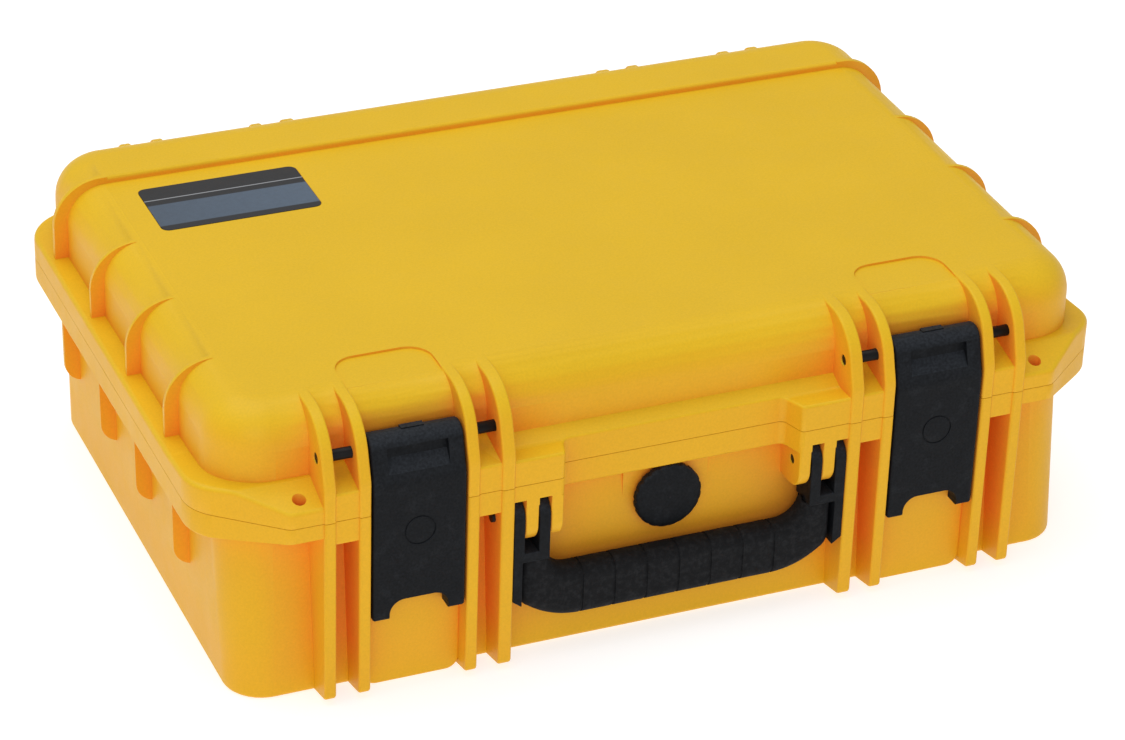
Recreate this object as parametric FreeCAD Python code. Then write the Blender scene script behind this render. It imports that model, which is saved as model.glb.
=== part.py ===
"""Waterproof hard tool case with a lift-out tray, modelled closed, in millimetres.

Frame: +X along the length (right when facing the latches), +Y to the hinges, +Z up.
Origin: on the resting face, at mid length; y = 0 is midway between front and rear ribs.
Every sub-part is written as its own solid to parts/NAME.step.
"""
import FreeCAD, Part
import math
import os

V = FreeCAD.Vector

# ---- overall sizes -------------------------------------------------------------------
FLANGE_HALF = 237.5        # half length over the rim flange
RIB_FRONT = -160.0         # front faces of the front ribs
RIB_REAR = 160.0           # rear faces of the rear ribs
PART_Z = 102.5             # parting plane between base and lid
SPLIT = 0.15               # each rim stays this far from the parting plane
BASE_RIM = PART_Z - SPLIT
LID_RIM = PART_Z + SPLIT
WALL = 4.0                 # moulded wall thickness

# ---- base box ------------------------------------------------------------------------
BASE_HALF = 222.0          # half length of the base at its foot
BASE_HALF_TOP = 223.6
BASE_FRONT = -145.0        # front wall at the foot
BASE_FRONT_TOP = -135.0    # it leans back towards the flange, leaving room for the handle
RIB_ROOT = -133.5          # front ribs, bays and lugs reach this far into the leaning wall
BASE_REAR = 148.0
BASE_REAR_TOP = 148.5
BASE_CORNER = 24.0
BASE_FOOT_CORNER = 20.0
BASE_FOOT_ROUND = 2.5
FLANGE_LOW = 89.3          # underside of the base flange
FLANGE_LOW_NOSE = 94.5     # the same at the front edge of each padlock eye

# ---- lid box -------------------------------------------------------------------------
LID_HALF = 226.6
LID_FRONT = -138.0
LID_REAR = 150.0
LID_CORNER = 28.0
LID_TOP = 152.7
LID_SHOULDER = 20.0
FLANGE_TOP = 114.0         # top of the lid flange at the ends and corners
SHELF_FRONT = 116.7        # top of the lid shelf at its front edge
SHELF_LOW = 115.6          # and where it starts to rise to the wall
CORNER_NOSE = 110.4        # top of the lid flange at the padlock eyes
CORNER_TOP = 117.6         # and where it turns the corner
BAND_FRONT = 106.6         # front face of the raised rear band
BAND_REAR = 152.0
BAND_HALF = 226.4
BAND_TOP = 156.2

# ---- rim flange outline --------------------------------------------------------------
FLANGE_FRONT = -159.0
FLANGE_REAR = 158.0
FLANGE_MID = -146.0        # set-back stretch between the handle lugs
PADLOCK_X = 191.8
PADLOCK_Y = -151.2
PADLOCK_R = 3.3
NOSE_BACK = -130.0          # the flange thins from here forward, to each padlock eye

# ---- ribs ----------------------------------------------------------------------------
RIB_X = (90.7, 108.0, 162.2, 179.4)      # rib centres, both sides, front and rear
RIB_WIDTH = (6.8, 6.0, 6.0, 6.0)
RIB_ROUND = 25.0                         # outer top corner of the front lid ribs
REAR_RIB_TIP = (168.5, 143.6)            # upper corner of the rear lid ribs, which overhang the hinge
REAR_RIB_WAIST = 116.0                   # below this they stand straight down to the parting plane
REAR_RIB_ROUND = 8.0
MIDDLE_RIB_DROP = 1.9                    # the single rib at mid length is lower by this
RIB_BEND = 120.5                         # front lid ribs stand upright to here, then lean back
RIB_LEAN = 10.0                          # how far they would lean at the top
END_RIB_Y = (-78.6, -17.7, 42.3)         # front faces of the end ribs
END_RIB_THICK = 2.6
LID_END_RIB = 233.5                      # outer edge of the lid end ribs and of the band's end plates
BAND_PLATE = 3.4                         # thickness of those plates
BASE_END_RIB = 231.0
BASE_END_RIB_LOW = 40.5

# ---- latches -------------------------------------------------------------------------
BAY_X = 135.1              # centre of each latch bay and of each hinge
BAY_HALF = 24.1            # half the clear width between the bay ribs
BAY_FRONT = -150.5         # bay face on the base and on both flanges
BAY_BACK = -98.5           # rear edge of the shallow floor let into the lid
BAY_DEEP = 1.1
LATCH_HALF = 23.2
LATCH_Y = -147.7           # latch pivot
LATCH_Z = 131.8
LATCH_KNUCKLE = 7.6
LATCH_FACE = -160.0
LATCH_LOW = 42.7
LATCH_NOTCH = 53.0         # top of the notch between the latch's legs
LATCH_PIN_R = 2.85
RUN = 0.05                 # running clearance on a radius

# ---- hinges --------------------------------------------------------------------------
HINGE_Y = 162.0
HINGE_R = 5.5
HINGE_PIN_R = 2.2
KNUCKLE_EDGES = (-23.7, -14.2, -4.75, 4.75, 14.2, 23.7)
KNUCKLE_GAP = 0.3

# ---- carrying handle -----------------------------------------------------------------
PIVOT_Y = -150.0
PIVOT_Z = 82.4
LUG_INNER = (61.9, 68.1)
LUG_MIDDLE = (74.5, 81.1)
LUG_LOW = 68.0
LUG_ROUND = 10.5
SLOT_TOP = 94.0
SLOT_BACK = -139.6
PRONG_GAP = 0.35
PRONG_R = 9.3
HANDLE_HALF = 87.0
HANDLE_PIN_R = 2.5
YOKE_TOP = 64.0
YOKE_LOW = 59.0
YOKE_BACK = 6.2            # back of the yokes behind the pivot plane
STRIP_Y = (-159.3, -144.4)  # outer strips beside the grip
CORE_HALF = 79.0           # buried core bar: outer and window half widths
CORE_WINDOW = 72.0
CORE_LOW = 30.0
CORE_TOP = 41.0
CORE_BACK = 6.0            # core thickness in front of and behind the pivot plane
CORE_AHEAD = 2.0
GRIP_HALF = 82.2
GRIP_WINDOW = 67.4
GRIP_LOW = 21.2
GRIP_TOP = 49.0
GRIP_TURN = 64.0           # where the bottom line would meet the rising outer corner line
GRIP_SHOULDER = 33.8       # where that line meets the outer side
GRIP_ROUND = 6.6
GRIP_Y = (-158.6, -143.4)
GROOVE_COUNT = 7           # shallow grooves round the grip
GROOVE_PITCH = 16.9
GROOVE_HALF = 0.7
GROOVE_DEEP = 0.55

# ---- pressure valve ------------------------------------------------------------------
VALVE_Z = 70.0
VALVE_FACE = -139.5        # front of the round boss the valve body sits on
WALL_BACK = -132.5         # flat face of the boss inside the wall
BOSS_R = 14.2
KNOB_R = 17.4
FLUTE_COUNT = 20
PAD_HALF = 22.4
PAD_FACE = -138.0          # upright pad that comes out of the leaning wall
PAD_LOW = 66.5

# ---- seal ----------------------------------------------------------------------------
TONGUE = (229.5, -141.8, 152.5)   # centre line: end x, front y, rear y
TONGUE_WIDTH = 2.4
TONGUE_HIGH = 2.4
GROOVE_WIDTH = 4.6
GROOVE_TOP = 109.2

# ---- tray ----------------------------------------------------------------------------
TRAY_LOW = 56.3
TRAY_TOP = 99.0
TRAY_WALL = 2.2
TRAY_HALF = 206.0
TRAY_Y = (-119.5, 133.0)
TRAY_LIP = 3.0
POST_R = 10.0
POST_INSET = 2.0           # post centres inside the tray's side and end walls

# ---- label ---------------------------------------------------------------------------
LABEL_X = (-193.5, -109.8)
LABEL_Y = (48.3, 94.0)


# ---- drawing helpers -----------------------------------------------------------------
def flat_xy(z):
    return lambda a, b: V(a, b, z)


def flat_yz(x):
    return lambda a, b: V(x, a, b)


def flat_xz(y):
    return lambda a, b: V(a, y, b)


def outline(corners, place):
    """Closed wire through corners (a, b, radius), each corner rounded by its radius."""
    count = len(corners)
    starts = []
    ends = []
    mids = []
    for i, (a, b, radius) in enumerate(corners):
        pa, pb = corners[i - 1][:2]
        na, nb = corners[(i + 1) % count][:2]
        to_prev = V(pa - a, pb - b, 0).normalize()
        to_next = V(na - a, nb - b, 0).normalize()
        if radius <= 0:
            starts.append(V(a, b, 0))
            ends.append(V(a, b, 0))
            mids.append(None)
            continue
        half = to_prev.getAngle(to_next) / 2
        reach = radius / math.tan(half)
        inward = (to_prev + to_next).normalize()
        centre = V(a, b, 0) + inward * (radius / math.sin(half))
        starts.append(V(a, b, 0) + to_prev * reach)
        ends.append(V(a, b, 0) + to_next * reach)
        mids.append(centre - inward * radius)
    edges = []
    for i in range(count):
        p, q = starts[i], ends[i]
        if mids[i] is not None:
            m = mids[i]
            edges.append(Part.Arc(place(p.x, p.y), place(m.x, m.y), place(q.x, q.y)).toShape())
        following = starts[(i + 1) % count]
        if (following - q).Length > 1e-6:
            edges.append(Part.LineSegment(place(q.x, q.y), place(following.x, following.y)).toShape())
    return Part.Wire(edges)


def rect(x0, x1, y0, y1, radius, z):
    corners = [(x0, y0, radius), (x1, y0, radius), (x1, y1, radius), (x0, y1, radius)]
    return outline(corners, flat_xy(z))


def slab(corners, z0, z1):
    return Part.Face(outline(corners, flat_xy(z0))).extrude(V(0, 0, z1 - z0))


def across(corners, x0, x1):
    """Solid with a (y, z) outline, running along X."""
    return Part.Face(outline(corners, flat_yz(x0))).extrude(V(x1 - x0, 0, 0))


def along(corners, y0, y1):
    """Solid with an (x, z) outline, running along Y."""
    return Part.Face(outline(corners, flat_xz(y0))).extrude(V(0, y1 - y0, 0))


def block(x0, x1, y0, y1, z0, z1):
    return Part.makeBox(x1 - x0, y1 - y0, z1 - z0, V(x0, y0, z0))


def rod_x(radius, x0, x1, y, z):
    return Part.makeCylinder(radius, x1 - x0, V(x0, y, z), V(1, 0, 0))


def rod_y(radius, y0, y1, x, z):
    return Part.makeCylinder(radius, y1 - y0, V(x, y0, z), V(0, 1, 0))


def mirror_x(shape):
    return shape.mirror(V(0, 0, 0), V(1, 0, 0))


def span(x0, x1, side):
    """Ordered x range of a feature on the given side (-1 left, +1 right)."""
    return min(side * x0, side * x1), max(side * x0, side * x1)


def rounded(shape, radius, wanted):
    """Round the edges of shape that wanted() picks by their bounding box."""
    edges = [e for e in shape.Edges if wanted(e.BoundBox)]
    if not edges:
        return shape
    return shape.makeFillet(radius, edges)


def save(name, shape):
    solids = shape.removeSplitter().Solids
    result = solids[0] if len(solids) == 1 else Part.makeCompound(solids)
    result.exportStep("parts/" + name + ".step")
    print(name, len(solids), "solid(s)", round(result.Volume / 1000.0, 1), "cm3", result.isValid())


# ---- shared outlines -----------------------------------------------------------------
def flange_corners():
    """Plan outline of the rim flange: setback at the handle, latch bays, padlock corners."""
    half = [
        (57.8, FLANGE_MID, 4.0),
        (62.0, FLANGE_FRONT, 2.5),
        (RIB_X[1], FLANGE_FRONT, 0),
        (RIB_X[1], BAY_FRONT, 0),
        (RIB_X[2], BAY_FRONT, 0),
        (RIB_X[2], FLANGE_FRONT, 0),
        (198.5, FLANGE_FRONT, 7.0),
        (FLANGE_HALF, -127.0, 24.0),
        (FLANGE_HALF, FLANGE_REAR, 30.0),
    ]
    left = [(-x, y, r) for x, y, r in reversed(half)]
    return left + half


def seal_ring(width, z0, z1):
    end, front, rear = TONGUE
    w = width / 2
    outer = rect(-end - w, end + w, front - w, rear + w, 27.0 + w, z0)
    inner = rect(-end + w, end - w, front + w, rear - w, 27.0 - w, z0)
    rise = V(0, 0, z1 - z0)
    return Part.Face(outer).extrude(rise).cut([Part.Face(inner).extrude(rise)])


def rib_bars(corners, round_by, wanted):
    """The same (y, z) rib repeated at every rib centre, with its outer edges rounded."""
    bars = []
    for centre, width in zip(RIB_X, RIB_WIDTH):
        bar = across(corners, centre - width / 2, centre + width / 2)
        bar = rounded(bar, round_by, wanted)
        bars.append(bar)
        bars.append(mirror_x(bar))
    return bars


def padlock_cuts():
    return [Part.makeCylinder(PADLOCK_R, 40, V(s * PADLOCK_X, PADLOCK_Y, 80)) for s in (-1, 1)]


def knuckle_ranges(side, which):
    """x ranges of the hinge knuckles: which = 0 for the base (outer and middle), 1 for the lid."""
    centre = side * BAY_X
    ranges = []
    for i in range(5):
        if i % 2 == which:
            ranges.append((centre + KNUCKLE_EDGES[i] + KNUCKLE_GAP / 2,
                           centre + KNUCKLE_EDGES[i + 1] - KNUCKLE_GAP / 2))
    return ranges


def add_knuckles(shell, which, z0, z1):
    """Clear the other half's knuckles out of the shell, then add its own on short arms."""
    cuts = []
    adds = []
    bores = []
    for side in (-1, 1):
        for x0, x1 in knuckle_ranges(side, 1 - which):
            cuts.append(rod_x(HINGE_R + 0.5, x0 - 0.3, x1 + 0.3, HINGE_Y, PART_Z))
        for x0, x1 in knuckle_ranges(side, which):
            adds.append(rod_x(HINGE_R, x0, x1, HINGE_Y, PART_Z))
            adds.append(block(x0, x1, FLANGE_REAR - 2, HINGE_Y, z0, z1))
        bores.append(rod_x(HINGE_PIN_R + RUN, side * BAY_X - 30, side * BAY_X + 30, HINGE_Y, PART_Z))
    return shell.cut(cuts).fuse(adds).cut(bores)


# ---- base shell ----------------------------------------------------------------------
def base_shell():
    foot = rect(-BASE_HALF, BASE_HALF, BASE_FRONT, BASE_REAR, BASE_FOOT_CORNER, 0)
    top = rect(-BASE_HALF_TOP, BASE_HALF_TOP, BASE_FRONT_TOP, BASE_REAR_TOP, BASE_CORNER, BASE_RIM)
    box = Part.makeLoft([foot, top], True, True)
    box = rounded(box, BASE_FOOT_ROUND, lambda b: b.ZMax < 0.01)
    flange = slab(flange_corners(), FLANGE_LOW, BASE_RIM)
    flange = rounded(flange, 1.6, lambda b: b.ZMax < FLANGE_LOW + 0.01
                     and not (b.XLength < 0.01 and b.YMax < BAY_FRONT + 0.01))
    nose = [(-170.0, FLANGE_LOW - 5, 0), (-170.0, FLANGE_LOW_NOSE + 1.9, 0), (FLANGE_FRONT, FLANGE_LOW_NOSE, 0),
            (NOSE_BACK, FLANGE_LOW, 0), (NOSE_BACK, FLANGE_LOW - 5, 0)]
    flange = flange.cut([across(nose, RIB_X[3] + 1, 250.0), across(nose, -250.0, -RIB_X[3] - 1)])
    front_rib = [(RIB_ROOT, BASE_RIM, 0), (RIB_FRONT, BASE_RIM, 0), (RIB_FRONT, 3.6, 3.0),
                 (-144.5, 0.2, 0), (-139.5, 2.0, 0), (-139.5, 20.0, 0)]
    rear_rib = [(146.0, 2.0, 0), (149.0, 0.2, 0), (RIB_REAR, 3.6, 3.0), (RIB_REAR, BASE_RIM, 0),
                (146.0, BASE_RIM, 0)]
    pieces = [flange]
    pieces += rib_bars(front_rib, 1.2, lambda b: b.YMax < -144 and b.XLength < 0.01 and b.ZMin < BASE_RIM - 1)
    pieces += rib_bars(rear_rib, 1.2, lambda b: b.YMin > 148 and b.XLength < 0.01 and b.ZMin < BASE_RIM - 1)
    for side in (-1, 1):
        x0, x1 = span(BAY_X - BAY_HALF - 0.5, BAY_X + BAY_HALF + 0.5, side)
        bay = along([(x0, 0.4, 7.0), (x1, 0.4, 7.0), (x1, FLANGE_LOW + 3, 0), (x0, FLANGE_LOW + 3, 0)],
                    BAY_FRONT, RIB_ROOT)
        bay = rounded(bay, 1.5, lambda b: b.YMax < BAY_FRONT + 0.01 and b.ZMin < 8)
        catch = block(side * BAY_X - 18, side * BAY_X + 18, -153.2, BAY_FRONT + 1, FLANGE_LOW, 95.0)
        pieces += [bay, catch]
        for lug in (LUG_INNER, LUG_MIDDLE):
            x0, x1 = span(lug[0], lug[1], side)
            shape = [(RIB_ROOT, FLANGE_LOW + 4, 0), (RIB_ROOT, LUG_LOW, 0), (FLANGE_FRONT, LUG_LOW, LUG_ROUND),
                     (FLANGE_FRONT, FLANGE_LOW + 4, 0)]
            plate = across(shape, x0, x1)
            pieces.append(rounded(plate, 1.0, lambda b: b.YMax < -141 and b.XLength < 0.01
                                  and b.ZMin < FLANGE_LOW + 3))
        for y in END_RIB_Y + (BAND_FRONT,):
            corners = [(side * 217.0, FLANGE_LOW + 2, 0), (side * BASE_END_RIB, FLANGE_LOW + 2, 0),
                       (side * (BASE_END_RIB - 0.6), BASE_END_RIB_LOW, 11.0),
                       (side * 217.0, BASE_END_RIB_LOW, 0)]
            pieces.append(along(corners, y, y + END_RIB_THICK))
    pad = block(-PAD_HALF, PAD_HALF, PAD_FACE, RIB_ROOT, PAD_LOW, FLANGE_LOW + 1)
    boss = rod_y(BOSS_R, VALVE_FACE, RIB_ROOT, 0, VALVE_Z)
    pieces += [pad, boss, seal_ring(TONGUE_WIDTH, BASE_RIM - 1, BASE_RIM + TONGUE_HIGH)]
    shell = box.fuse(pieces)

    floor = rect(-BASE_HALF + WALL + 1.5, BASE_HALF - WALL - 1.5, BASE_FRONT + WALL + 1,
                 BASE_REAR - WALL - 0.5, BASE_CORNER - WALL, WALL)
    mouth = rect(-BASE_HALF_TOP + WALL + 1, BASE_HALF_TOP - WALL - 1, BASE_FRONT_TOP + WALL,
                 BASE_REAR_TOP - WALL - 0.5, BASE_CORNER - WALL, BASE_RIM + 5)
    cavity = Part.makeLoft([floor, mouth], True, True)
    cavity = rounded(cavity, 6.0, lambda b: b.ZMax < WALL + 0.01)
    posts = []
    for side in (-1, 1):
        for y in (TRAY_Y[0] + POST_INSET, TRAY_Y[1] - POST_INSET):
            centre = V(side * (TRAY_HALF - POST_INSET), y, 1)
            posts.append(Part.makeCylinder(POST_R, TRAY_LOW - 2 * SPLIT - 1, centre))
    inner_boss = rod_y(BOSS_R - 1, WALL_BACK - 3, WALL_BACK, 0, VALVE_Z)
    shell = shell.cut([cavity])
    shell = shell.fuse([post.common(box) for post in posts] + [inner_boss])

    cuts = padlock_cuts()
    cuts.append(rod_y(6.2, -150, -120, 0, VALVE_Z))
    for side in (-1, 1):
        rib_face = RIB_X[0] - RIB_WIDTH[0] / 2
        for x0, x1 in (span(LUG_INNER[1], LUG_MIDDLE[0], side), span(LUG_MIDDLE[1], rib_face, side)):
            cuts.append(across([(-165.0, 80.0, 0), (-165.0, SLOT_TOP, 0), (SLOT_BACK - 1.5, SLOT_TOP, 3.0),
                                (SLOT_BACK, 80.0, 0)], x0, x1))
        x0, x1 = span(60.0, 97.0, side)
        cuts.append(rod_x(HANDLE_PIN_R + RUN, x0, x1, PIVOT_Y, PIVOT_Z))
    shell = shell.cut(cuts)
    return add_knuckles(shell, 0, PART_Z - HINGE_R, BASE_RIM)


# ---- lid shell -----------------------------------------------------------------------
def lid_flange():
    """Lid half of the rim flange: thin at the padlock eyes, thicker where it turns each corner."""
    flange = slab(flange_corners(), LID_RIM, CORNER_TOP)
    nose = [(-170.0, CORNER_NOSE - 4.4, 0), (FLANGE_FRONT, CORNER_NOSE, 0), (-140.0, CORNER_TOP, 6.0),
            (-95.0, FLANGE_TOP, 30.0), (170.0, FLANGE_TOP, 0), (170.0, CORNER_TOP + 5, 0),
            (-170.0, CORNER_TOP + 5, 0)]
    edge = RIB_X[3] + 1
    cuts = [across(nose, edge, 250.0), across(nose, -250.0, -edge),
            block(-edge, edge, -170.0, 170.0, FLANGE_TOP, CORNER_TOP + 5)]
    flange = flange.cut(cuts)
    return rounded(flange, 2.4, lambda b: b.ZMin > CORNER_NOSE - 0.1 and abs(b.Center.x) > RIB_X[3] + 2
                   and (b.YLength < 150 or abs(b.Center.x) > 236))


def lid_shelf():
    """Raised shelf over the handle: level at the front, rising to the wall."""
    profile = [(FLANGE_FRONT - 1, LID_RIM, 0), (FLANGE_FRONT - 1, SHELF_FRONT, 0), (-147.0, SHELF_LOW, 6.0),
               (-136.0, 120.4, 0), (-136.0, LID_RIM, 0)]
    half = RIB_X[0] - 1
    shelf = slab(flange_corners(), LID_RIM, SHELF_FRONT + 8).common(across(profile, -half, half))
    return rounded(shelf, 1.5, lambda b: b.ZMin > SHELF_LOW - 0.3 and b.YMax < FLANGE_MID + 0.3)


def lid_shell():
    box = slab([(-LID_HALF, LID_FRONT, LID_CORNER), (LID_HALF, LID_FRONT, LID_CORNER),
                (LID_HALF, LID_REAR, 10.0), (-LID_HALF, LID_REAR, 10.0)], LID_RIM, LID_TOP)
    box = box.cut([block(-300, 300, BAND_FRONT + 4, 300, 0, 300)])
    box = rounded(box, LID_SHOULDER, lambda b: b.ZMin > LID_TOP - 0.01 and b.YMin < BAND_FRONT)
    band = slab([(-BAND_HALF, BAND_FRONT, 0), (BAND_HALF, BAND_FRONT, 0),
                 (BAND_HALF, BAND_REAR, 27.0), (-BAND_HALF, BAND_REAR, 27.0)], LID_RIM, BAND_TOP)
    band = rounded(band, 20.0, lambda b: b.ZMin > BAND_TOP - 0.01 and b.YMax > BAND_FRONT + 1)
    band = rounded(band, 2.0, lambda b: b.YMax < BAND_FRONT + 0.01 and b.ZMin > LID_TOP - 30
                   and b.XLength > 1)
    flange = lid_flange()
    front_rib = [(-112.0, LID_RIM, 0), (RIB_FRONT, LID_RIM, 0), (RIB_FRONT, RIB_BEND, 14.0),
                 (RIB_FRONT + RIB_LEAN, LID_TOP, RIB_ROUND), (-112.0, LID_TOP, 0)]
    tip_y, tip_z = REAR_RIB_TIP
    rear_rib = [(126.0, LID_RIM, 0), (126.0, 150.0, 0), (tip_y, tip_z, REAR_RIB_ROUND),
                (RIB_REAR, REAR_RIB_WAIST, 20.0), (RIB_REAR, LID_RIM, 0)]
    middle_rib = [(y, z - MIDDLE_RIB_DROP if z > tip_z - 1 else z, r) for y, z, r in rear_rib]
    middle_bar = across(middle_rib, -RIB_WIDTH[1] / 2, RIB_WIDTH[1] / 2)
    pieces = [band, flange, lid_shelf(), middle_bar]
    pieces += rib_bars(front_rib, 1.3, lambda b: b.YMax < -111.9 and b.XLength < 0.01 and b.ZMax > LID_RIM + 1)
    pieces += rib_bars(rear_rib, 1.3, lambda b: b.YMin > 125.9 and b.XLength < 0.01 and b.ZMax > LID_RIM + 1)
    for side in (-1, 1):
        for near, far in ((RIB_X[0], RIB_X[1]), (RIB_X[2], RIB_X[3])):
            x0, x1 = span(near + 2, far - 2, side)
            pieces.append(across([(FLANGE_FRONT, LID_RIM, 0), (FLANGE_FRONT, 116.8, 1.5),
                                  (-136.0, 122.5, 0), (-136.0, LID_RIM, 0)], x0, x1))
        x0, x1 = span(BAY_X - BAY_HALF - 0.5, BAY_X + BAY_HALF + 0.5, side)
        pieces.append(across([(BAY_FRONT, LID_RIM, 0), (BAY_FRONT, 116.0, 1.5), (-136.0, 119.0, 0),
                              (-136.0, LID_RIM, 0)], x0, x1))
        for y in END_RIB_Y:
            corners = [(side * 205.0, FLANGE_TOP - 4, 0), (side * LID_END_RIB, FLANGE_TOP - 4, 0),
                       (side * LID_END_RIB, LID_TOP - 0.1, 23.5), (side * 205.0, LID_TOP - 0.1, 0)]
            pieces.append(along(corners, y, y + END_RIB_THICK))
        corners = [(side * 205.0, FLANGE_TOP - 4, 0), (side * LID_END_RIB, FLANGE_TOP - 4, 0),
                   (side * LID_END_RIB, BAND_TOP, 25.0), (side * 205.0, BAND_TOP, 0)]
        pieces.append(along(corners, BAND_FRONT, BAND_FRONT + BAND_PLATE))
    shell = box.fuse(pieces)

    # each latch bay: a shallow floor let into the top, rolling over to the latch knuckle
    bay_cuts = []
    bay_adds = []
    for side in (-1, 1):
        x0, x1 = span(BAY_X - BAY_HALF, BAY_X + BAY_HALF, side)
        floor = LID_TOP - BAY_DEEP
        bay_cuts.append(slab([(x0, -165.0, 0), (x1, -165.0, 0), (x1, BAY_BACK, 12.0), (x0, BAY_BACK, 12.0)],
                             floor, LID_TOP + 5))
        bay_adds.append(across([(-120.0, 130.0, 0), (-120.0, floor, 0), (-138.9, floor, 15.5),
                                (-138.9, 130.0, 0)], x0 - 0.5, x1 + 0.5))
    shell = shell.cut(bay_cuts).fuse(bay_adds)

    cavity = slab([(-LID_HALF + WALL + 0.6, LID_FRONT + WALL + 0.2, 24.0),
                   (LID_HALF - WALL - 0.6, LID_FRONT + WALL + 0.2, 24.0),
                   (LID_HALF - WALL - 0.6, BAND_REAR - WALL - 1.5, 22.0),
                   (-LID_HALF + WALL + 0.6, BAND_REAR - WALL - 1.5, 22.0)], LID_RIM - 5, LID_TOP - WALL)
    cavity = rounded(cavity, 16.0, lambda b: b.ZMin > LID_TOP - WALL - 0.01)
    cuts = padlock_cuts() + [cavity, seal_ring(GROOVE_WIDTH, LID_RIM - 5, GROOVE_TOP)]
    for side in (-1, 1):
        x0, x1 = span(RIB_X[0] - 4, RIB_X[3] + 4, side)
        cuts.append(rod_x(LATCH_PIN_R + RUN, x0, x1, LATCH_Y, LATCH_Z))
    cuts.append(slab([(LABEL_X[0] - 0.3, LABEL_Y[0] - 0.3, 4.3), (LABEL_X[1] + 0.3, LABEL_Y[0] - 0.3, 4.3),
                      (LABEL_X[1] + 0.3, LABEL_Y[1] + 0.3, 4.3), (LABEL_X[0] - 0.3, LABEL_Y[1] + 0.3, 4.3)],
                     LID_TOP - 0.5, LID_TOP + 5))
    shell = shell.cut(cuts)
    return add_knuckles(shell, 1, LID_RIM, PART_Z + HINGE_R)


def lid_gasket():
    ring = seal_ring(GROOVE_WIDTH - 0.4, GROOVE_TOP - 3.4, GROOVE_TOP)
    return rounded(ring, 1.2, lambda b: b.ZMax < GROOVE_TOP - 3.3)


# ---- latches -------------------------------------------------------------------------
def latch(side):
    cx = side * BAY_X
    x0 = cx - LATCH_HALF
    x1 = cx + LATCH_HALF
    body = across([(-150.9, LATCH_LOW, 0), (LATCH_FACE, LATCH_LOW, 1.6), (LATCH_FACE, 117.0, 14.0),
                   (-155.2, 133.0, 0), (LATCH_Y, LATCH_Z, 0), (-145.0, 124.8, 0), (-150.9, 121.0, 0)], x0, x1)
    knuckle = rod_x(LATCH_KNUCKLE, x0, x1, LATCH_Y, LATCH_Z)
    knuckle = knuckle.makeFillet(1.5, [e for e in knuckle.Edges if e.BoundBox.XLength < 0.01])
    tab = block(cx - 5.7, cx + 5.7, LATCH_Y - 0.5, LATCH_Y + 3, LATCH_Z + 5, LATCH_Z + LATCH_KNUCKLE + 0.5)
    body = rounded(body, 1.5, lambda b: b.XLength < 0.01 and b.YMax < -154.9)
    shape = body.fuse([knuckle, tab])
    hollow = block(x0 + 2.4, x1 - 2.4, LATCH_FACE + 2.5, -140, 53.5, 118.0)
    legs = along([(cx - 15.2, 30.0, 0), (cx - 14.7, LATCH_NOTCH, 7.5), (cx + 14.7, LATCH_NOTCH, 7.5),
                  (cx + 15.2, 30.0, 0)], -170, -140)
    lift = across([(-170.0, 134.2, 0), (-152.9, 134.2, 0), (-153.2, 128.3, 0.8), (-158.6, 121.9, 0),
                   (-170.0, 121.9, 0)], cx - 15.2, cx + 15.2)
    ring = rod_y(7.9, LATCH_FACE - 1, LATCH_FACE + 0.5, cx, 90.0).cut(
        [rod_y(7.1, LATCH_FACE - 1, LATCH_FACE + 0.5, cx, 90.0)])
    bore = rod_x(LATCH_PIN_R + RUN, x0 - 1, x1 + 1, LATCH_Y, LATCH_Z)
    shape = shape.cut([hollow, legs, lift, ring, bore])
    hook = across([(LATCH_FACE + 2, 83.5, 0), (-154.0, 87.0, 0), (-154.0, 88.6, 0.6),
                   (LATCH_FACE + 2, 88.6, 0)], cx - 17, cx + 17)
    ribs = [block(x - 0.8, x + 0.8, LATCH_FACE + 2, -155.0, 54.0, 83.0) for x in (cx - 7.0, cx + 7.0)]
    return shape.fuse([hook] + ribs)


def latch_pin(side):
    x0, x1 = span(RIB_X[0] - 2.6, RIB_X[3] + 2.6, side)
    return rod_x(LATCH_PIN_R, x0, x1, LATCH_Y, LATCH_Z)


def hinge_pin(side):
    cx = side * BAY_X
    return rod_x(HINGE_PIN_R, cx - 23.6, cx + 23.6, HINGE_Y, PART_Z)


# ---- carrying handle -----------------------------------------------------------------
def handle_window(half, low, radius):
    """Corners of the finger window, open at the top, from right to left."""
    return [(half, YOKE_LOW, 0), (half, low, radius), (-half, low, radius), (-half, YOKE_LOW, 0)]


def handle_core():
    """Stiff U-shaped bar buried inside the soft grip."""
    corners = [(-CORE_HALF, YOKE_TOP, 0), (-CORE_HALF, CORE_LOW, 20.0), (CORE_HALF, CORE_LOW, 20.0),
               (CORE_HALF, YOKE_TOP, 0), (CORE_WINDOW, YOKE_TOP, 0)]
    corners += handle_window(CORE_WINDOW, CORE_TOP, 8.0)[1:3]
    corners.append((-CORE_WINDOW, YOKE_TOP, 0))
    return along(corners, PIVOT_Y - CORE_BACK, PIVOT_Y + CORE_AHEAD)


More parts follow.
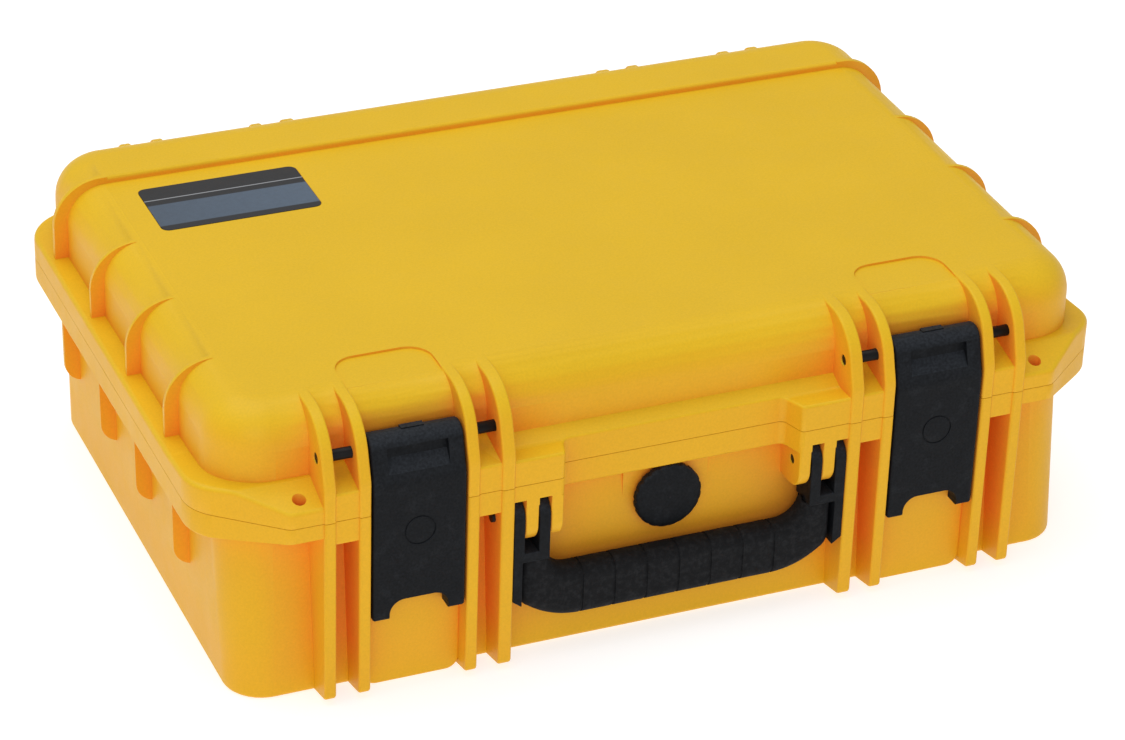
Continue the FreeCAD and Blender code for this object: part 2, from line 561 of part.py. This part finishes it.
def handle_frame():
    """Two forked yokes with their outer strips, joined by the buried core."""
    strip_low = GRIP_SHOULDER + 0.1
    pieces = []
    for side in (-1, 1):
        slots = ((LUG_INNER[1], LUG_MIDDLE[0]), (LUG_MIDDLE[1], HANDLE_HALF + PRONG_GAP))
        for near, far in slots:
            x0, x1 = span(near + PRONG_GAP, far - PRONG_GAP, side)
            pieces.append(rod_x(PRONG_R, x0, x1, PIVOT_Y, PIVOT_Z))
            pieces.append(block(x0, x1, PIVOT_Y - PRONG_R, PIVOT_Y + YOKE_BACK, YOKE_LOW, PIVOT_Z))
        x0, x1 = span(LUG_INNER[1] + PRONG_GAP, HANDLE_HALF, side)
        pieces.append(block(x0, x1, PIVOT_Y - PRONG_R, PIVOT_Y + YOKE_BACK, YOKE_LOW, YOKE_TOP))
        inner = side * (GRIP_HALF + 0.1)
        outer = side * HANDLE_HALF
        strip = [(inner, YOKE_TOP - 2, 0), (outer, YOKE_TOP - 2, 0), (outer, strip_low + 3.6, 0),
                 (inner, strip_low, 0)]
        pieces.append(along(strip, STRIP_Y[0], STRIP_Y[1]))
    frame = handle_core().fuse(pieces)
    bores = []
    for side in (-1, 1):
        x0, x1 = span(LUG_INNER[0], RIB_X[0], side)
        bores.append(rod_x(HANDLE_PIN_R + RUN, x0, x1, PIVOT_Y, PIVOT_Z))
    return frame.cut(bores)


def grip_groove(x):
    """Thin band that leaves a shallow groove right round the grip at x."""
    y0, y1 = GRIP_Y
    low = GRIP_LOW
    top = GRIP_TOP
    band = block(x - GROOVE_HALF, x + GROOVE_HALF, y0 - 1, y1 + 1, low - 1, top + 1)
    d = GROOVE_DEEP
    r = GRIP_ROUND - GROOVE_DEEP
    keep = [(y0 + d, low + d, r), (y1 - d, low + d, r), (y1 - d, top - d, r), (y0 + d, top - d, r)]
    return band.cut([across(keep, x - GROOVE_HALF, x + GROOVE_HALF)])


def handle_grip(frame):
    """Soft grip moulded round the core, with a large curve at each outer corner."""
    corners = [(-GRIP_HALF, YOKE_LOW - 0.1, 0), (-GRIP_HALF, GRIP_SHOULDER, 9.2), (-GRIP_TURN, GRIP_LOW, 44.0),
               (GRIP_TURN, GRIP_LOW, 44.0), (GRIP_HALF, GRIP_SHOULDER, 9.2), (GRIP_HALF, YOKE_LOW - 0.1, 0)]
    window = handle_window(GRIP_WINDOW, GRIP_TOP, 12.0)
    corners.append((GRIP_WINDOW, YOKE_LOW - 0.1, 0))
    corners += window[1:3]
    corners.append((-GRIP_WINDOW, YOKE_LOW - 0.1, 0))
    grip = along(corners, GRIP_Y[0], GRIP_Y[1])
    grip = rounded(grip, GRIP_ROUND, lambda b: b.YLength < 0.01 and b.ZMin < YOKE_LOW - 1)
    grooves = [grip_groove((i - GROOVE_COUNT / 2.0 + 0.5) * GROOVE_PITCH) for i in range(GROOVE_COUNT)]
    return grip.cut(grooves + [frame])


def handle_pin(side):
    x0, x1 = span(LUG_INNER[0] + 0.6, RIB_X[0] + 5.0, side)
    return rod_x(HANDLE_PIN_R, x0, x1, PIVOT_Y, PIVOT_Z)


# ---- pressure valve ------------------------------------------------------------------
def turned(points):
    """Solid of revolution about the valve axis; points are (radius, y)."""
    wire = Part.makePolygon([V(r, y, VALVE_Z) for r, y in points + points[:1]])
    return Part.Face(wire).revolve(V(0, 0, VALVE_Z), V(0, 1, 0), 360)


def valve_body():
    f = VALVE_FACE
    body = turned([(4.0, f - 4.2), (5.9, f - 4.2), (5.9, f - 2.2), (13.0, f - 2.2), (13.0, f - 0.05),
                   (11.2, f - 0.05), (11.2, f - 1.6), (8.8, f - 1.6), (8.8, f - 0.05), (6.0, f - 0.05),
                   (6.0, f + 12.5), (2.6, f + 12.5), (2.6, f + 11.0), (4.0, f + 11.0)])
    return body


def valve_o_ring():
    return Part.makeTorus(10.0, 0.75, V(0, VALVE_FACE - 0.78, VALVE_Z), V(0, 1, 0))


def valve_nut():
    radius = 10.6
    corners = []
    for i in range(6):
        angle = math.radians(60 * i)
        corners.append((radius * math.cos(angle), VALVE_Z + radius * math.sin(angle), 0))
    nut = along(corners, WALL_BACK + 0.3, WALL_BACK + 5.3)
    return nut.cut([rod_y(6.02, -150, -120, 0, VALVE_Z)])


def valve_membrane():
    return rod_y(3.9, VALVE_FACE + 9.6, VALVE_FACE + 10.9, 0, VALVE_Z)


def valve_knob():
    f = VALVE_FACE
    profile = [(0, f - 5.3), (9.0, f - 5.0), (13.5, f - 4.6), (16.2, f - 4.1), (KNOB_R, f - 3.1),
               (KNOB_R, f - 0.4), (13.4, f - 0.4), (13.4, f - 2.5), (6.5, f - 2.5), (6.5, f - 4.3), (0, f - 4.3)]
    knob = turned(profile)
    flutes = []
    for i in range(FLUTE_COUNT):
        angle = math.radians(360.0 / FLUTE_COUNT * i)
        flutes.append(rod_y(1.7, f - 6, f, (KNOB_R + 1.2) * math.cos(angle),
                            VALVE_Z + (KNOB_R + 1.2) * math.sin(angle)))
    return knob.cut(flutes)


# ---- label, tray ---------------------------------------------------------------------
def label_plate():
    return slab([(LABEL_X[0], LABEL_Y[0], 4.0), (LABEL_X[1], LABEL_Y[0], 4.0),
                 (LABEL_X[1], LABEL_Y[1], 4.0), (LABEL_X[0], LABEL_Y[1], 4.0)],
                LID_TOP - 0.45, LID_TOP + 0.15)


def tray():
    y0, y1 = TRAY_Y
    half = TRAY_HALF
    w = TRAY_WALL
    foot = rect(-half + 2, half - 2, y0 + 2, y1 - 2, 15.0, TRAY_LOW)
    top = rect(-half, half, y0, y1, 17.0, TRAY_TOP)
    outer = Part.makeLoft([foot, top], True, True)
    lip = slab([(-TRAY_HALF - TRAY_LIP, y0 - TRAY_LIP, 20.0), (TRAY_HALF + TRAY_LIP, y0 - TRAY_LIP, 20.0),
                (TRAY_HALF + TRAY_LIP, y1 + TRAY_LIP, 20.0), (-TRAY_HALF - TRAY_LIP, y1 + TRAY_LIP, 20.0)],
               TRAY_TOP - 2.2, TRAY_TOP)
    floor = rect(-half + 2 + w, half - 2 - w, y0 + 2 + w, y1 - 2 - w, 13.0, TRAY_LOW + w)
    mouth = rect(-half + w, half - w, y0 + w, y1 - w, 15.0, TRAY_TOP + 1)
    inner = Part.makeLoft([floor, mouth], True, True)
    shape = outer.fuse([lip]).cut([inner])
    middle = (y0 + y1) / 2
    wall = block(-TRAY_HALF + 3, TRAY_HALF - 3, middle - 1.1, middle + 1.1, TRAY_LOW + 1, TRAY_TOP - 6)
    guides = []
    for x in (-70.0, 70.0):
        for y in (y0 + 3.2, middle - 1.1, middle + 1.1, y1 - 3.2):
            for offset in (-2.6, 1.2):
                guides.append(block(x + offset, x + offset + 1.4, y - 2.2, y + 2.2, TRAY_LOW + 1, TRAY_TOP - 8))
    return shape.fuse([wall] + guides)


def tray_divider(x, rear):
    y0, y1 = TRAY_Y
    middle = (y0 + y1) / 2
    if rear:
        span_y = (middle + 1.3, y1 - 4.6)
    else:
        span_y = (y0 + 4.6, middle - 1.3)
    plate = block(x - 1.0, x + 1.0, span_y[0], span_y[1], TRAY_LOW + TRAY_WALL + 0.1, TRAY_TOP - 9)
    return plate


def tray_grip(side):
    """Lift grip: a bridge standing on two feet inside each end of the tray."""
    x0, x1 = span(TRAY_HALF - 12.5, TRAY_HALF - 5.2, side)
    middle = (TRAY_Y[0] + TRAY_Y[1]) / 2
    y0 = middle - 46
    y1 = middle - 6
    frame = Part.Face(outline([(y0, TRAY_LOW + TRAY_WALL + 0.1, 0), (y1, TRAY_LOW + TRAY_WALL + 0.1, 0),
                               (y1, TRAY_TOP - 3, 5.0), (y0, TRAY_TOP - 3, 5.0)], flat_yz(x0)))
    gap = Part.Face(outline([(y0 + 6, TRAY_LOW, 0), (y1 - 6, TRAY_LOW, 0), (y1 - 6, TRAY_TOP - 10, 4.0),
                             (y0 + 6, TRAY_TOP - 10, 4.0)], flat_yz(x0)))
    return frame.extrude(V(x1 - x0, 0, 0)).cut([gap.extrude(V(x1 - x0, 0, 0))])


# ---- build ---------------------------------------------------------------------------
def main():
    os.makedirs("parts", exist_ok=True)
    save("base_shell", base_shell())
    save("lid_shell", lid_shell())
    save("lid_gasket", lid_gasket())
    for side, hand in ((-1, "left"), (1, "right")):
        save("latch_" + hand, latch(side))
        save("latch_pin_" + hand, latch_pin(side))
        save("hinge_pin_" + hand, hinge_pin(side))
        save("handle_pin_" + hand, handle_pin(side))
        save("tray_grip_" + hand, tray_grip(side))
        save("tray_divider_front_" + hand, tray_divider(70.0 * side, False))
        save("tray_divider_rear_" + hand, tray_divider(70.0 * side, True))
    frame = handle_frame()
    save("handle_frame", frame)
    save("handle_grip", handle_grip(frame))
    save("valve_body", valve_body())
    save("valve_o_ring", valve_o_ring())
    save("valve_nut", valve_nut())
    save("valve_membrane", valve_membrane())
    save("valve_knob", valve_knob())
    save("label_plate", label_plate())
    save("tray", tray())


main()
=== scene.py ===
"""Looks of the waterproof hard tool case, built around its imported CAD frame. Metres, +Z up."""

import math

import bpy
from mathutils import Euler, Matrix, Vector


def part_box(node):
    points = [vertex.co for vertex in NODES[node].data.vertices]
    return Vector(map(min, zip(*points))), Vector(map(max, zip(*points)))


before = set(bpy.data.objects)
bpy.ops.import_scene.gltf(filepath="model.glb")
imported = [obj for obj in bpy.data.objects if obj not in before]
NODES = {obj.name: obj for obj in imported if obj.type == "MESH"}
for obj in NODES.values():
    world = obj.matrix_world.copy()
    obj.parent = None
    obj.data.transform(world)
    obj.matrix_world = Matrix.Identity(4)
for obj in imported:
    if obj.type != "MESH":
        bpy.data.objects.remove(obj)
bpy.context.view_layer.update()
MM = 0.001

# ---- colours, linear -----------------------------------------------------------------
# painted light and shade: the yellow as lit on tops and as shaded on walls
YELLOW_LIT_TOP = (0.81, 0.500, 0.015)
YELLOW_SHADED_SIDE = (0.81, 0.430, 0.010)
# painted shade: the deeper orange laid into recesses between walls
ORANGE_PAINTED_SHADE = (0.96, 0.310, 0.034)
CHARCOAL = (0.0068, 0.0078, 0.0095)
TRAY_BLACK = (0.0120, 0.0122, 0.0130)
GRIP_BLACK = (0.0095, 0.0098, 0.0108)
SEAL_BLACK = (0.011, 0.011, 0.012)
PIN_BLACK = (0.0040, 0.0040, 0.0044)
PIN_RUBBED = (0.025, 0.025, 0.025)
FIBRE_SHADE = (0.70, 0.70, 0.67)
FIBRE_WHITE = (0.82, 0.82, 0.80)
LABEL_BLACK = (0.0130, 0.0135, 0.0160)
SLATE_BAND = (0.090, 0.130, 0.185)
PALE_RULE = (0.30, 0.31, 0.33)
PAPER_SHADE = (0.54, 0.54, 0.54)
PAPER_LIGHT = (0.56, 0.56, 0.56)
WHITE = (1.0, 1.0, 1.0, 1.0)

# ---- yellow plastic: where its painted shade, a deeper orange, shows ------------------
RECESS_REACH = 34 * MM               # how near another wall has to be
RECESS_OPENNESS = (0.15, 0.88)       # full at the first value, gone at the second
RECESS_FACING_UP = (0.20, 0.75)      # full at the first value, gone at the second
RECESS_HEIGHT = (4 * MM, 30 * MM)    # gone below the first height, full above the second

# ---- rounded edges: widths in millimetres, on edges sharper than an angle in degrees --
EDGE = {"base_shell": 0.6, "lid_shell": 0.6, "tray": 0.4, "latch_left": 0.35, "latch_right": 0.35,
        "handle_frame": 0.5, "valve_knob": 0.35}
EDGE_ELSEWHERE = 0.25
EDGE_ANGLE = 38.0
WELD_GAP = 0.002 * MM

# ---- studio and camera: metres and degrees, sensor and lens in millimetres ------------
FLOOR_HALF = 14.0
FLOOR_GLOW = 0.68
WORLD_STRENGTH = 0.46
CAMERA_PLACE = (-0.69668, -1.62381, 1.09211)
CAMERA_TILT = 59.760
CAMERA_TURN = -23.323
CAMERA_ROLL = 1.929
SENSOR_WIDTH = 36.0
LENS = 127.27
FAR_CLIP = 60.0


# ---- node helpers --------------------------------------------------------------------
class Shader:
    """A node material under construction, with short calls for the nodes used here."""

    def __init__(self, name):
        self.material = bpy.data.materials.new(name)
        self.material.use_nodes = True
        self.tree = self.material.node_tree
        self.bsdf = self.tree.nodes["Principled BSDF"]
        self.coords = self.tree.nodes.new("ShaderNodeTexCoord").outputs["Object"]

    def add(self, kind, **settings):
        node = self.tree.nodes.new(kind)
        for key, value in settings.items():
            setattr(node, key, value)
        return node

    def link(self, source, target):
        self.tree.links.new(source, target)

    def coordinate(self, axis):
        """Object coordinate along X, Y or Z, in metres."""
        parts = self.add("ShaderNodeSeparateXYZ")
        self.link(self.coords, parts.inputs[0])
        return parts.outputs[axis]

    def noise(self, size, detail=3.0, roughness=0.55, stretch=(1, 1, 1)):
        """Noise whose blobs are about size metres across."""
        mapping = self.add("ShaderNodeMapping")
        mapping.inputs["Scale"].default_value = stretch
        self.link(self.coords, mapping.inputs["Vector"])
        node = self.add("ShaderNodeTexNoise")
        node.inputs["Scale"].default_value = 1.0 / size
        node.inputs["Detail"].default_value = detail
        node.inputs["Roughness"].default_value = roughness
        self.link(mapping.outputs["Vector"], node.inputs["Vector"])
        return node.outputs["Fac"]

    def cells(self, size):
        """Distance to the cell centres of a Voronoi pattern, cells about size metres across."""
        node = self.add("ShaderNodeTexVoronoi")
        node.inputs["Scale"].default_value = 1.0 / size
        self.link(self.coords, node.inputs["Vector"])
        return node.outputs["Distance"]

    def spread(self, value, low, high, to_low=0.0, to_high=1.0, smooth=False):
        """Value mapped from low..high to to_low..to_high, clamped."""
        node = self.add("ShaderNodeMapRange")
        if smooth:
            node.interpolation_type = "SMOOTHSTEP"
        node.inputs["From Min"].default_value = low
        node.inputs["From Max"].default_value = high
        node.inputs["To Min"].default_value = to_low
        node.inputs["To Max"].default_value = to_high
        self.link(value, node.inputs["Value"])
        return node.outputs["Result"]

    def vary(self, to_low, to_high, size, detail=3.0, roughness=0.55):
        """A number that wanders between to_low and to_high in blobs about size metres across."""
        return self.spread(self.noise(size, detail, roughness), 0.3, 0.7, to_low, to_high)

    def facing_up(self, low, high):
        """0 on walls and 1 on surfaces that face up; low and high are heights of the unit normal."""
        parts = self.add("ShaderNodeSeparateXYZ")
        self.link(self.add("ShaderNodeNewGeometry").outputs["Normal"], parts.inputs[0])
        return self.spread(parts.outputs["Z"], low, high, smooth=True)

    def openness(self, reach):
        """0 where a surface is closed in by others within reach and 1 in the open."""
        node = self.add("ShaderNodeAmbientOcclusion", samples=4)
        node.inputs["Distance"].default_value = reach
        return node.outputs["AO"]

    def combine(self, operation, first, second):
        """Arithmetic on two values; each is a number or a socket."""
        node = self.add("ShaderNodeMath", operation=operation)
        for socket, value in zip(node.inputs, (first, second)):
            if isinstance(value, (int, float)):
                socket.default_value = value
            else:
                self.link(value, socket)
        return node.outputs[0]

    def stripe(self, across, start, end, softness):
        """1 between start and end and 0 outside, with edges softness wide."""
        rise = self.spread(across, start, start + softness)
        fall = self.spread(across, end, end - softness)
        return self.combine("MULTIPLY", rise, fall)

    def mix(self, factor, first, second):
        """Colour mix; each colour is an RGB tuple or a socket."""
        node = self.add("ShaderNodeMix", data_type="RGBA")
        self.link(factor, node.inputs["Factor"])
        for socket, value in ((node.inputs["A"], first), (node.inputs["B"], second)):
            if isinstance(value, tuple):
                socket.default_value = (*value, 1.0)
            else:
                self.link(value, socket)
        return node.outputs["Result"]

    def scaled(self, colour, factor):
        """Colour made lighter or darker by a factor."""
        node = self.add("ShaderNodeVectorMath", operation="SCALE")
        self.link(colour, node.inputs[0])
        self.link(factor, node.inputs["Scale"])
        return node.outputs[0]

    def bump(self, height, distance, after=None):
        """Normal roughened by a height; after is the normal of a coarser bump under it."""
        node = self.add("ShaderNodeBump")
        node.inputs["Strength"].default_value = 1.0
        node.inputs["Distance"].default_value = distance
        self.link(height, node.inputs["Height"])
        if after is not None:
            self.link(after, node.inputs["Normal"])
        return node.outputs["Normal"]

    def finish(self, colour, roughness, normal=None, **values):
        """Connect the results; plain numbers go straight onto the shader's sockets."""
        self.link(colour, self.bsdf.inputs["Base Color"])
        if isinstance(roughness, float):
            values["Roughness"] = roughness
        else:
            self.link(roughness, self.bsdf.inputs["Roughness"])
        if normal is not None:
            self.link(normal, self.bsdf.inputs["Normal"])
        for name, value in values.items():
            self.bsdf.inputs[name.replace("_", " ")].default_value = value
        return self.material


# ---- materials -----------------------------------------------------------------------
def paler(colour, factor, lift=0.0):
    return tuple(channel * factor + lift for channel in colour)


def painted_recess_shade(shader):
    """Painted shade mask: 1 deep between walls, fading to 0 in the open, on upward faces and near
    the ground.
    """
    enclosed = shader.spread(shader.openness(RECESS_REACH), *RECESS_OPENNESS, 1.0, 0.0)
    upright = shader.combine("SUBTRACT", 1.0, shader.facing_up(*RECESS_FACING_UP))
    raised = shader.spread(shader.coordinate("Z"), *RECESS_HEIGHT)
    return shader.combine("MULTIPLY", shader.combine("MULTIPLY", enclosed, upright), raised)


def yellow_plastic():
    """Moulded yellow plastic: fine grain, soft sheen, painted light on tops and painted shade as
    deeper orange where walls face each other.
    """
    shader = Shader("yellow_plastic")
    # painted light: faces that look up get the lit yellow, walls get the shaded one
    face = shader.mix(shader.facing_up(0.15, 0.85), YELLOW_SHADED_SIDE, YELLOW_LIT_TOP)
    # painted shade: deeper orange mixed in where walls close each other in
    colour = shader.mix(painted_recess_shade(shader), face, ORANGE_PAINTED_SHADE)
    flow = shader.spread(shader.noise(55 * MM, detail=2.0), 0.35, 0.65, -0.015, 0.015)
    speckle = shader.vary(-0.035, 0.035, size=1.1 * MM, detail=2.0)
    shade = shader.combine("ADD", shader.combine("ADD", flow, speckle), 1.0)
    rough = shader.vary(0.40, 0.50, size=14 * MM, detail=4.0)
    sink = shader.bump(shader.noise(38 * MM, detail=1.0), 0.10 * MM)
    grain = shader.bump(shader.noise(0.55 * MM, roughness=0.6), 0.035 * MM, after=sink)
    return shader.finish(shader.scaled(colour, shade), rough, grain, Specular_IOR_Level=0.22)


def black_plastic(name, colour, roughness, grain_size):
    """Dark moulded plastic: speckled, with faint scuffs and streaks of wear, and painted light
    making it lighter on top.
    """
    shader = Shader(name)
    patches = shader.noise(9 * MM, detail=6.0, roughness=0.7)
    scuff = shader.spread(patches, 0.52, 0.74, 0.0, 0.5)
    drawn = shader.noise(5 * MM, detail=5.0, roughness=0.7, stretch=(0.25, 1.0, 1.0))
    streak = shader.spread(drawn, 0.60, 0.78, 0.0, 0.4)
    wear = shader.combine("MAXIMUM", scuff, streak)
    # painted light: faces that look up are made three times lighter
    face = shader.mix(shader.facing_up(0.05, 0.75), colour, paler(colour, 3.0))
    # real scuffs and streaks, mixed over the painted lighter top
    wear_and_lit_top = shader.mix(wear, face, paler(colour, 2.4, 0.004))
    speckle = shader.spread(shader.noise(1.3 * MM, detail=2.0), 0.32, 0.68, 0.70, 1.30)
    rough = shader.vary(*roughness, size=6 * MM, detail=5.0, roughness=0.6)
    grain = shader.bump(shader.noise(grain_size, roughness=0.65), 0.05 * MM)
    return shader.finish(shader.scaled(wear_and_lit_top, speckle), rough, grain, Specular_IOR_Level=0.10)


def rubber(name, colour):
    """Matt pebbled rubber with a little pale dust."""
    shader = Shader(name)
    patches = shader.noise(3 * MM, detail=6.0, roughness=0.75)
    dust = shader.spread(patches, 0.46, 0.72, 0.0, 0.60)
    dusty = shader.mix(dust, colour, paler(colour, 2.6, 0.006))
    rough = shader.vary(0.62, 0.80, size=4 * MM, detail=4.0)
    pebble = shader.bump(shader.cells(0.8 * MM), 0.045 * MM)
    return shader.finish(dusty, rough, pebble, Specular_IOR_Level=0.08)


def blackened_steel():
    """Black oxide pins: drawn lines along the pin and a few brighter rubbed spots."""
    shader = Shader("pin_black")
    lines = shader.noise(0.8 * MM, detail=4.0, roughness=0.7, stretch=(0.05, 1.0, 1.0))
    patches = shader.noise(3 * MM, detail=4.0, roughness=0.7)
    rubbed = shader.spread(patches, 0.60, 0.78, 0.0, 0.6)
    tone = shader.mix(rubbed, PIN_BLACK, PIN_RUBBED)
    rough = shader.spread(lines, 0.3, 0.7, 0.36, 0.52)
    return shader.finish(tone, rough, shader.bump(lines, 0.01 * MM), Specular_IOR_Level=0.18)


def membrane():
    """Pale breathable disc with a fine fibrous surface."""
    shader = Shader("membrane")
    fibre = shader.noise(0.25 * MM, detail=5.0, roughness=0.7)
    tone = shader.mix(shader.spread(fibre, 0.3, 0.7), FIBRE_SHADE, FIBRE_WHITE)
    return shader.finish(tone, 0.8, shader.bump(fibre, 0.03 * MM))


def label_film():
    """Blank printed label: charcoal film with a plain slate band and a thin pale rule."""
    shader = Shader("label_film")
    low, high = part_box("label_plate")
    across = shader.spread(shader.coordinate("Y"), low.y, high.y)
    fade = shader.spread(shader.coordinate("X"), low.x, high.x, 0.75, 1.0)
    patches = shader.noise(2.2 * MM, detail=5.0, roughness=0.7)
    mottle = shader.spread(patches, 0.35, 0.65, 0.86, 1.0)
    band = shader.stripe(across, start=0.10, end=0.60, softness=0.015)
    worn_band = shader.combine("MULTIPLY", shader.combine("MULTIPLY", band, fade), mottle)
    rule = shader.stripe(across, start=0.700, end=0.722, softness=0.004)
    printed = shader.mix(rule, shader.mix(worn_band, LABEL_BLACK, SLATE_BAND), PALE_RULE)
    rough = shader.vary(0.30, 0.42, size=5 * MM, detail=4.0)
    ripple = shader.bump(shader.noise(1.2 * MM, detail=2.0), 0.01 * MM)
    return shader.finish(printed, rough, ripple, Specular_IOR_Level=0.5)


YELLOW = yellow_plastic()
LATCH = black_plastic("latch_black", CHARCOAL, roughness=(0.46, 0.60), grain_size=0.7 * MM)
HANDLE = black_plastic("handle_black", CHARCOAL, roughness=(0.42, 0.56), grain_size=0.7 * MM)
VALVE = black_plastic("valve_black", CHARCOAL, roughness=(0.40, 0.55), grain_size=0.6 * MM)
TRAY = black_plastic("tray_black", TRAY_BLACK, roughness=(0.50, 0.62), grain_size=0.9 * MM)
GRIP = rubber("grip_rubber", GRIP_BLACK)
SEAL = rubber("seal_rubber", SEAL_BLACK)
PIN = blackened_steel()
MEMBRANE = membrane()
LABEL = label_film()

FINISH = {
    "base_shell": YELLOW, "lid_shell": YELLOW, "lid_gasket": SEAL, "label_plate": LABEL,
    "latch_left": LATCH, "latch_right": LATCH, "handle_frame": HANDLE, "handle_grip": GRIP,
    "valve_body": VALVE, "valve_knob": VALVE, "valve_nut": VALVE, "valve_o_ring": SEAL,
    "valve_membrane": MEMBRANE,
}


def material_for(node):
    """Listed nodes have their own finish; the rest are the pins and the tray's parts."""
    if node in FINISH:
        return FINISH[node]
    return PIN if "pin" in node else TRAY


# ---- the CAD nodes: material and softened edges ---------------------------------------
def soften(obj, width):
    """Small rounded edges where the moulding has them, and smooth shading between."""
    weld = obj.modifiers.new("weld", "WELD")
    weld.merge_threshold = WELD_GAP
    bevel = obj.modifiers.new("bevel", "BEVEL")
    bevel.width = width * MM
    bevel.segments = 2
    bevel.limit_method = "ANGLE"
    bevel.angle_limit = math.radians(EDGE_ANGLE)
    bevel.harden_normals = True
    bevel.use_clamp_overlap = True


for name, obj in NODES.items():
    obj.data.materials.clear()
    obj.data.materials.append(material_for(name))
    soften(obj, EDGE.get(name, EDGE_ELSEWHERE))


# ---- stage ---------------------------------------------------------------------------
def plain_floor():
    """A wide pale sheet that glows a little, so that it stays near white."""
    corners = [(x * FLOOR_HALF, y * FLOOR_HALF, 0) for x, y in ((-1, -1), (1, -1), (1, 1), (-1, 1))]
    mesh = bpy.data.meshes.new("floor")
    mesh.from_pydata(corners, [], [(0, 1, 2, 3)])
    floor = bpy.data.objects.new("floor", mesh)
    bpy.context.scene.collection.objects.link(floor)
    shader = Shader("floor_paper")
    cloud = shader.vary(0.0, 1.0, size=0.4, detail=2.0)
    tone = shader.mix(cloud, PAPER_SHADE, PAPER_LIGHT)
    paper = shader.finish(tone, 0.9, Specular_IOR_Level=0.0, Emission_Color=WHITE,
                          Emission_Strength=FLOOR_GLOW)
    mesh.materials.append(paper)


def soft_light(name, place, aim, size, power):
    """Rectangular area light at place, turned to face aim; power in watts."""
    data = bpy.data.lights.new(name, "AREA")
    data.shape = "RECTANGLE"
    data.size, data.size_y = size
    data.energy = power
    light = bpy.data.objects.new(name, data)
    bpy.context.scene.collection.objects.link(light)
    light.location = place
    light.rotation_euler = (Vector(aim) - Vector(place)).to_track_quat("-Z", "Y").to_euler()


def studio():
    """White surroundings, a wide soft light overhead and a weaker one in front."""
    scene = bpy.context.scene
    world = bpy.data.worlds.new("studio")
    world.use_nodes = True
    background = world.node_tree.nodes["Background"]
    background.inputs["Color"].default_value = WHITE
    background.inputs["Strength"].default_value = WORLD_STRENGTH
    scene.world = world
    scene.view_settings.view_transform = "Standard"
    soft_light("overhead", place=(-0.4, 0.3, 2.2), aim=(0, 0, 0.1), size=(2.2, 2.2), power=27)
    soft_light("front", place=(-0.9, -2.0, 1.1), aim=(0, 0, 0.08), size=(1.6, 1.2), power=9)


def camera():
    """Three-quarter view from front left, 30 degrees up, with a long lens."""
    data = bpy.data.cameras.new("camera")
    data.sensor_width = SENSOR_WIDTH
    data.lens = LENS
    data.clip_end = FAR_CLIP
    cam = bpy.data.objects.new("camera", data)
    bpy.context.scene.collection.objects.link(cam)
    aim = Euler((math.radians(CAMERA_TILT), 0, math.radians(CAMERA_TURN))).to_matrix()
    roll = Matrix.Rotation(math.radians(CAMERA_ROLL), 3, "Z")
    cam.location = CAMERA_PLACE
    cam.rotation_euler = (aim @ roll).to_euler()
    bpy.context.scene.camera = cam


plain_floor()
studio()
camera()
